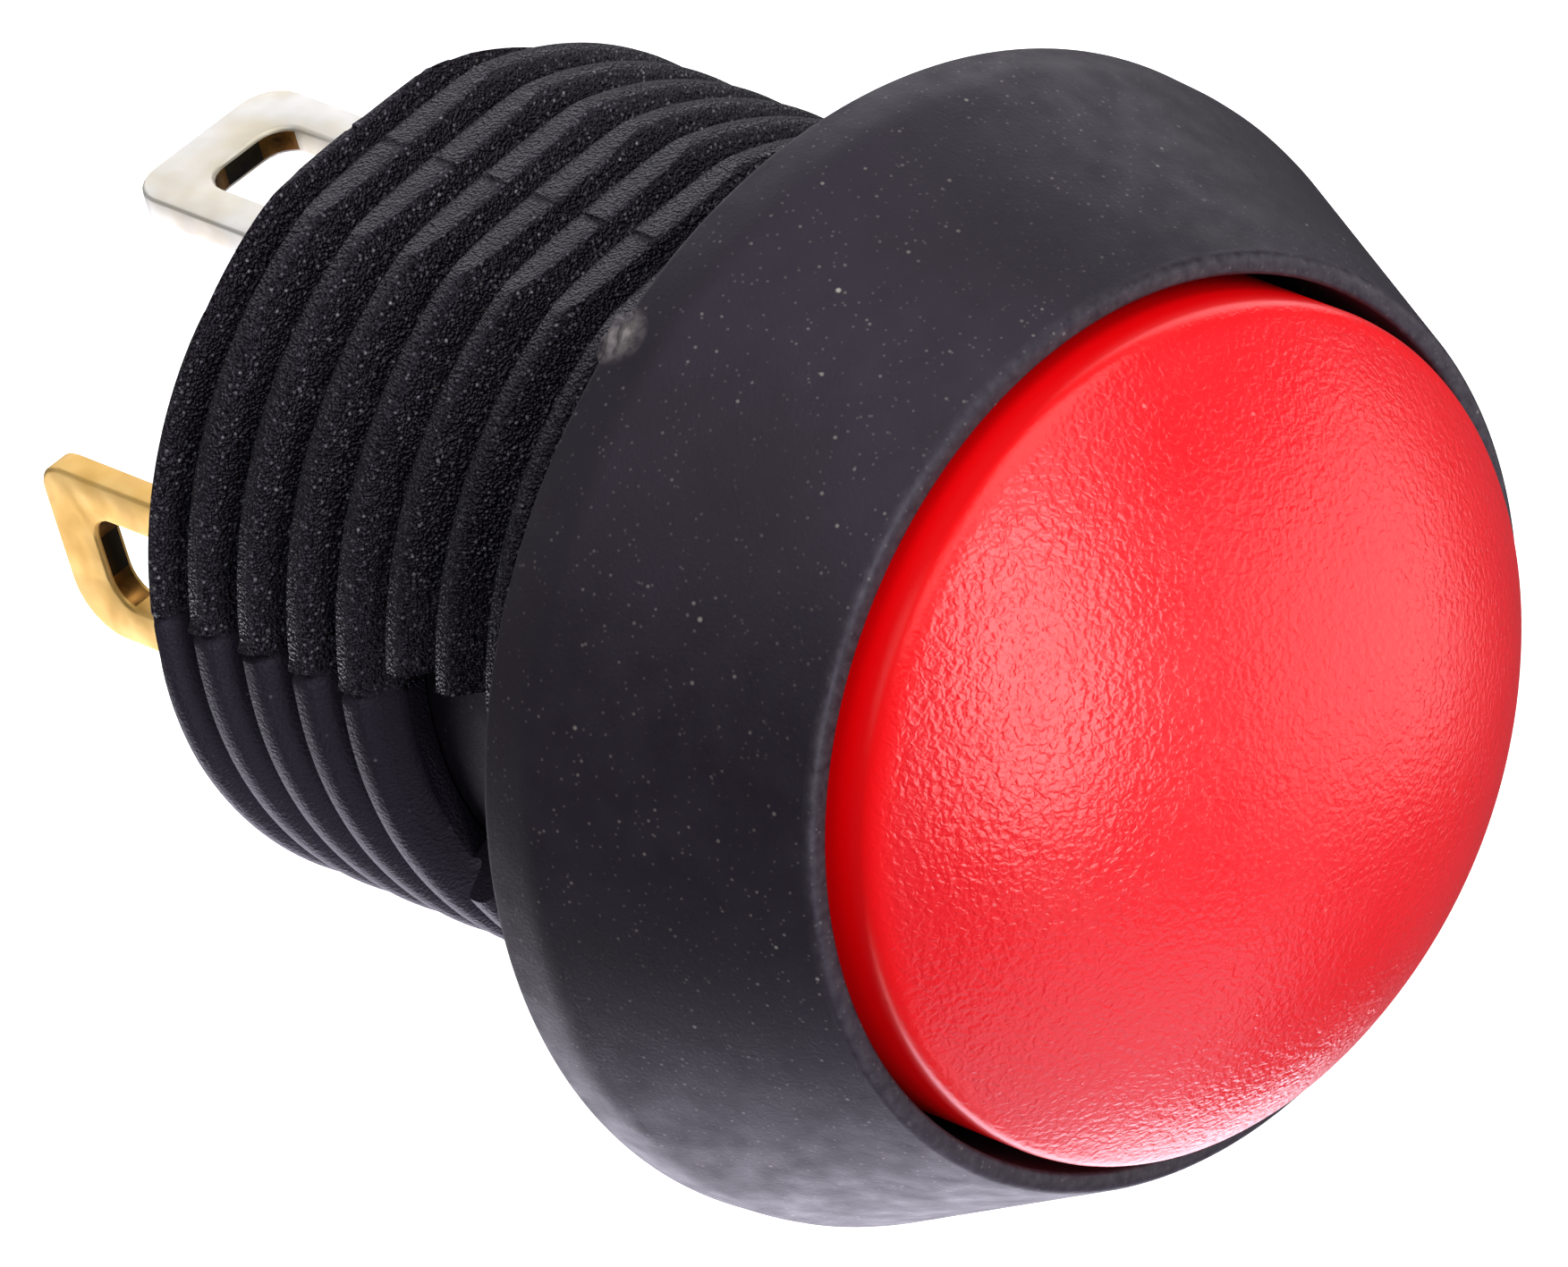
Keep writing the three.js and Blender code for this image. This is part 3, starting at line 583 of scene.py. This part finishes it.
def buttonCap():
    radius = span("button_cap")[0]
    rise = cap["rise"]
    ball = (radius ** 2 + rise ** 2) / (2 * rise)
    centreY = cap["edgeY"] - rise + ball
    edgeTurn = math.degrees(math.asin(radius / ball))
    dome = [Vector(p) for p in arcPoints(centreY, ball, 0, edgeTurn, 48)]
    corner = Vector((radius, cap["edgeY"]))
    tangent = corner - (dome[-1] - dome[-2])
    edge = roundCorner(tangent, corner, Vector((radius, cap["skirtEnd"])), cap["edgeRounding"])
    dome = [p for p in dome if (p - corner).length > (edge[0] - corner).length + 0.02]
    innerBall = ball - cap["crown"]
    innerR = radius - cap["wall"]
    ceiling = arcPoints(centreY, innerBall, math.degrees(math.asin(innerR / innerBall)),
                        math.degrees(math.asin(cap["bossR"] / innerBall)), 12)
    inside = [(radius, cap["skirtEnd"]), (innerR, cap["skirtEnd"]), *ceiling,
              (cap["bossR"], cap["bossEnd"]), (cap["boreR"], cap["bossEnd"]),
              (cap["boreR"], cap["boreTop"]), (0, cap["boreTop"])]
    bm = spun([*dome, *edge, *inside], 240)
    return finishPiece(asObject("buttonCap", bm), capPlastic, "button", "button_cap", 50)


buttonCap()
print("button cap made")


lug = {"width": 2.8, "thickness": 0.45, "outerR": 4.18, "startY": 5.9, "eyeWidth": 1.5,
       "eyeLength": 2.3, "eyeFromTip": 0.88, "eyeCorner": 0.42, "edge": 0.07, "legWidth": 1.6, "legEnd": 1.85,
       "silver": {"degrees": 109.5, "corners": (0.55, 0.6)},
       "gold": {"degrees": 199.5, "corners": (0.8, 0.45)}}


def wire(bm, points):
    verts = [bm.verts.new((p[0], p[1], 0)) for p in points]
    return [bm.edges.new(pair) for pair in zip(verts, verts[1:] + verts[:1])]


def solderLug(name, which, material, node):
    half, tip, start = lug["width"] / 2, span(node)[2], lug["startY"]
    left, right = lug[which]["corners"]
    eyeHalf, eyeTop = lug["eyeWidth"] / 2, tip - lug["eyeFromTip"]
    eyeEnd, r = eyeTop - lug["eyeLength"], lug["eyeCorner"]
    bm = bmesh.new()
    edges = wire(bm, outlineOf([(-half, start), (half, start), (half, tip, right), (-half, tip, left)]))
    edges += wire(bm, outlineOf([(-eyeHalf, eyeEnd, r), (eyeHalf, eyeEnd, r), (eyeHalf, eyeTop, r),
                                 (-eyeHalf, eyeTop, r)]))
    blank = bmesh.ops.triangle_fill(bm, use_beauty=True, use_dissolve=False, edges=edges)
    faces = [f for f in blank["geom"] if isinstance(f, bmesh.types.BMFace)]
    raised = bmesh.ops.extrude_face_region(bm, geom=faces, use_keep_orig=True)
    moved = [v for v in raised["geom"] if isinstance(v, bmesh.types.BMVert)]
    bmesh.ops.translate(bm, verts=moved, vec=(0, 0, lug["thickness"]))
    bmesh.ops.recalc_face_normals(bm, faces=bm.faces)
    rims = [e for e in bm.edges if len(e.link_faces) == 2 and 1.2 < e.calc_face_angle() < 1.9
            and abs(e.verts[0].co.z - e.verts[1].co.z) < 1e-6]
    bmesh.ops.bevel(bm, geom=rims, offset=lug["edge"], segments=3, profile=0.5, affect="EDGES", material=-1)
    bmesh.ops.translate(bm, verts=bm.verts, vec=(0, 0, lug["outerR"] - lug["thickness"]))
    leg = bmesh.new()
    length = lug["outerR"] - lug["legEnd"] - 0.1
    size = Matrix.Diagonal((lug["legWidth"], lug["thickness"] - 0.02, length, 1))
    middle = Vector((0, start + lug["thickness"] / 2, lug["legEnd"] + length / 2))
    bmesh.ops.create_cube(leg, size=1, matrix=Matrix.Translation(middle) @ size)
    turn = Matrix.Rotation(math.radians(90 - lug[which]["degrees"]), 4, "Y")
    for part in (bm, leg):
        bmesh.ops.rotate(part, cent=(0, 0, 0), matrix=turn, verts=part.verts)
    piece = boolean(asObject(name, bm), [asObject("leg", leg)], "UNION")
    finishPiece(piece, material, "housing", node, 30)
    piece.data.materials.append(plate["brassWithPaintedDarkReflection"])
    piece.data.materials.append(plate["brassWithPaintedHighlight"])
    paintEye(piece, turn, eyeTop)
    return piece


def paintEye(piece, turn, eyeTop):  # the end wall of the punched eye is bare brass with a painted dark reflection in the middle and a painted highlight at its rounded corners
    back = turn.inverted()
    eyeHalf = lug["eyeWidth"] / 2
    low, high = lug["outerR"] - lug["thickness"] + 0.07, lug["outerR"] - 0.07
    for face in piece.data.polygons:
        at = back @ (face.center / mm)
        inEye = abs(at.x) < eyeHalf + 0.03 and eyeTop - lug["eyeLength"] - 0.03 < at.y < eyeTop + 0.03
        if inEye and low < at.z < high and face.normal.y < -0.35:
            face.material_index = 1 if abs(at.x) < eyeHalf - lug["eyeCorner"] else 2


solderLug("silverLug", "silver", plate["silverPlate"], "silver_lug")
solderLug("goldLug", "gold", plate["goldPlate"], "gold_lug")
print("solder lugs made")


panelSeal = {"rounding": 0.2}
boot = {"wall": 0.3, "hubR": 3.34, "footIn": 4.15, "footHeight": 0.4, "keep": 0.43}
springs = {"returnR": 2.2, "returnWire": 0.2, "returnTurns": 3.5, "returnKeep": 0.5,
           "contactR": 1.45, "contactWire": 0.1, "contactTurns": 2.5, "contactKeep": 0.3}
resin = {"recess": 0.12, "creep": 0.3, "creepHeight": 0.14, "sink": 0.02, "fit": 0.04}


def panelSealRing():
    outer, front, rear = span("panel_seal_ring")
    inner = bezel["groove"][0] + 0.04
    r = panelSeal["rounding"]
    bm = spun(outlineOf([(inner, front, r), (outer, front, r), (outer, rear, r), (inner, rear, r)]), 160)
    ring = asObject("panelSealRing", bm)
    return finishPiece(ring, plain["blackNitrile"], "housing", "panel_seal_ring", 60)


def sealBoot():
    outer, front, foot = span("seal_boot")
    hub, wall, lift = boot["hubR"], boot["wall"], foot - boot["footHeight"]
    bm = spun(outlineOf([
        (boot["footIn"], foot), (outer, foot), (outer, lift), (4.62, lift, 0.1),
        (4.45, -2.0, 0.2), (3.92, -2.35, 0.16), (4.1, -2.9, 0.2), (hub + wall, -3.2, 0.1),
        (hub + wall, front, 0.08), (hub, front), (hub, -3.1, 0.1), (3.74, -2.78, 0.12),
        (3.55, -2.38, 0.16), (4.1, -1.85, 0.14), (4.2, lift, 0.08)]), 96)
    rubber = plain["redSilicone"]
    piece = finishPiece(asObject("sealBoot", bm), rubber, "housing", "seal_boot", 60)
    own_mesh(piece)
    return piece


def returnSpring():
    front, rear = span("return_spring")[1:]
    bm = coiled(springs["returnR"], springs["returnWire"], front, rear, springs["returnTurns"])
    steel = plate["springSteel"]
    piece = finishPiece(asObject("returnSpring", bm), steel, "housing", "return_spring", 60)
    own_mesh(piece)
    return piece


def contactSpring():
    front, rear = span("contact_spring")[1:]
    bm = coiled(springs["contactR"], springs["contactWire"], front, rear, springs["contactTurns"])
    steel = plate["springSteel"]
    piece = finishPiece(asObject("contactSpring", bm), steel, "contact", "contact_spring", 60)
    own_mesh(piece)
    return piece


def pottingPlug():
    front, rear = span("potting_plug")[1:]
    outer = bushing["baseR"] - resin["fit"]
    face = rear - resin["recess"]
    bm = spun(outlineOf([
        (0, front), (outer, front), (outer, face + resin["creepHeight"]), (outer - 0.12, face + 0.06),
        (outer - resin["creep"], face, 0.2), (0, face - resin["sink"])]), 144)
    piece = asObject("pottingPlug", bm)
    boolean(piece, [lugBlock(which, face) for which in ("silver", "gold")])
    return finishPiece(piece, plain["pottingResin"], "housing", "potting_plug", 40)


def lugBlock(which, faceY):
    bm = bmesh.new()
    gap = 0.02
    size = Matrix.Diagonal((lug["width"] + gap, 3, lug["thickness"] + gap, 1))
    middle = Vector((0, faceY, lug["outerR"] - lug["thickness"] / 2))
    bmesh.ops.create_cube(bm, size=1, matrix=Matrix.Translation(middle) @ size)
    turn = Matrix.Rotation(math.radians(90 - lug[which]["degrees"]), 4, "Y")
    bmesh.ops.rotate(bm, cent=(0, 0, 0), matrix=turn, verts=bm.verts)
    return asObject("lugBlock", bm)


panelSealRing()
sealBoot()
returnSpring()
contactSpring()
pottingPlug()
print("seals, springs and resin made")


# CAD nodes that keep their shape and get a finish
finishes = {"plunger": plain["whiteAcetal"], "plunger_guide": plain["whiteAcetal"],
            "terminal_base": plain["phenolicMoulding"], "contact_disc": plate["goldPlate"],
            "silver_lug_rivet": plate["silverPlate"], "gold_lug_rivet": plate["silverPlate"],
            "spring_seat_washer": plate["springSteel"], "seal_clamp_ring": plate["springSteel"],
            "stop_ring": plate["springSteel"], "disc_retainer": plate["springSteel"]}
for node, material in finishes.items():
    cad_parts[node].data.materials.clear()
    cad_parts[node].data.materials.append(material)
print("inner pieces finished")


studio = {"floorZ": -0.045, "floorSize": 8.0, "floorColour": "#f4f4f3", "floorGlow": 0.9,
          "worldColour": "#efedf4", "worldStrength": 0.09, "wallGlow": 1.08}
# each light: azimuth and elevation of its place, distance, width and height in metres, radiance, colour
lights = {
    "key": (-20, 12, 0.5, 0.24, 0.58, 6.0, "#ffffff"),
    "frontFill": (50, 0, 0.55, 0.65, 0.5, 1.6, "#ffffff"),
    "left": (-80, 38, 0.5, 0.3, 0.25, 1.45, "#ffffff"),
    "top": (-30, 72, 0.5, 0.45, 0.4, 2.0, "#ffffff"),
    "backWall": (144, 36, 0.6, 0.85, 0.5, 1.62, "#fbfaff"),
    "bounce": (18, -62, 0.5, 0.5, 0.45, 1.2, "#f1ecff"),
    "bounceRight": (152, -56, 0.5, 0.5, 0.35, 4.5, "#f2eeff"),
    "bounceBack": (-160, -42, 0.5, 0.34, 0.28, 1.6, "#ffffff"),
    "backLeft": (-135, 17, 0.5, 0.25, 0.25, 1.1, "#ffffff"),
}
shot = {"azimuth": -42.65, "elevation": 21.0, "distance": 0.36, "lens": 616, "slideMm": 1.98}


def direction(azimuth, elevation):
    a, e = math.radians(azimuth), math.radians(elevation)
    return Vector((math.sin(a) * math.cos(e), -math.cos(a) * math.cos(e), math.sin(e)))


def paleFloor():
    material, _, shader, _ = startMaterial("paleFloor", {"Roughness": 0.9, "IOR": 1.3})
    shader.inputs["Base Color"].default_value = linear(studio["floorColour"])
    shader.inputs["Emission Color"].default_value = linear(studio["floorColour"])
    shader.inputs["Emission Strength"].default_value = studio["floorGlow"]
    bm = bmesh.new()
    bmesh.ops.create_grid(bm, x_segments=1, y_segments=1, size=studio["floorSize"] / 2)
    bmesh.ops.translate(bm, verts=bm.verts, vec=(0, 0, studio["floorZ"]))
    mesh = bpy.data.meshes.new("floor")
    bm.to_mesh(mesh)
    bm.free()
    mesh.materials.append(material)
    floor = bpy.data.objects.new("floor", mesh)
    # only the lamps light the part
    floor.visible_diffuse = floor.visible_glossy = floor.visible_shadow = False
    bpy.context.scene.collection.objects.link(floor)


def softLight(name, azimuth, elevation, distance, width, height, radiance, colour):
    light = bpy.data.lights.new(name, "AREA")
    light.shape, light.size, light.size_y = "RECTANGLE", width, height
    light.energy = radiance * math.pi * width * height
    light.color = linear(colour)[:3]
    holder = bpy.data.objects.new(name, light)
    towards = direction(azimuth, elevation)
    holder.location = towards * distance
    holder.rotation_mode = "QUATERNION"
    holder.rotation_quaternion = towards.to_track_quat("Z", "Y")
    bpy.context.scene.collection.objects.link(holder)


def paleWorld():  # pale to look at, but dim as a light
    world = bpy.data.worlds.new("studio")
    bpy.context.scene.world = world
    world.use_nodes = True
    tree = world.node_tree
    background = tree.nodes["Background"]
    background.inputs[0].default_value = linear(studio["worldColour"])
    path = addNode(tree, "LightPath")
    strength = addNode(tree, "MapRange", {"To Min": studio["worldStrength"], "To Max": studio["wallGlow"]},
                       {"Value": path.outputs["Is Camera Ray"]})
    tree.links.new(strength.outputs[0], background.inputs[1])


def camera():
    back = direction(shot["azimuth"], shot["elevation"])
    side = Vector((-back.y, back.x, 0)).normalized()
    lens = bpy.data.cameras.new("camera")
    lens.lens, lens.clip_start, lens.clip_end = shot["lens"], 0.01, 20
    holder = bpy.data.objects.new("camera", lens)
    holder.location = back * shot["distance"] - side * shot["slideMm"] * mm
    holder.rotation_mode = "QUATERNION"
    holder.rotation_quaternion = back.to_track_quat("Z", "Y")
    bpy.context.scene.collection.objects.link(holder)
    bpy.context.scene.camera = holder


paleFloor()
paleWorld()
for name, values in lights.items():
    softLight(name, *values)
camera()
bpy.context.scene.view_settings.view_transform = "Standard"
print("floor, light and camera placed")
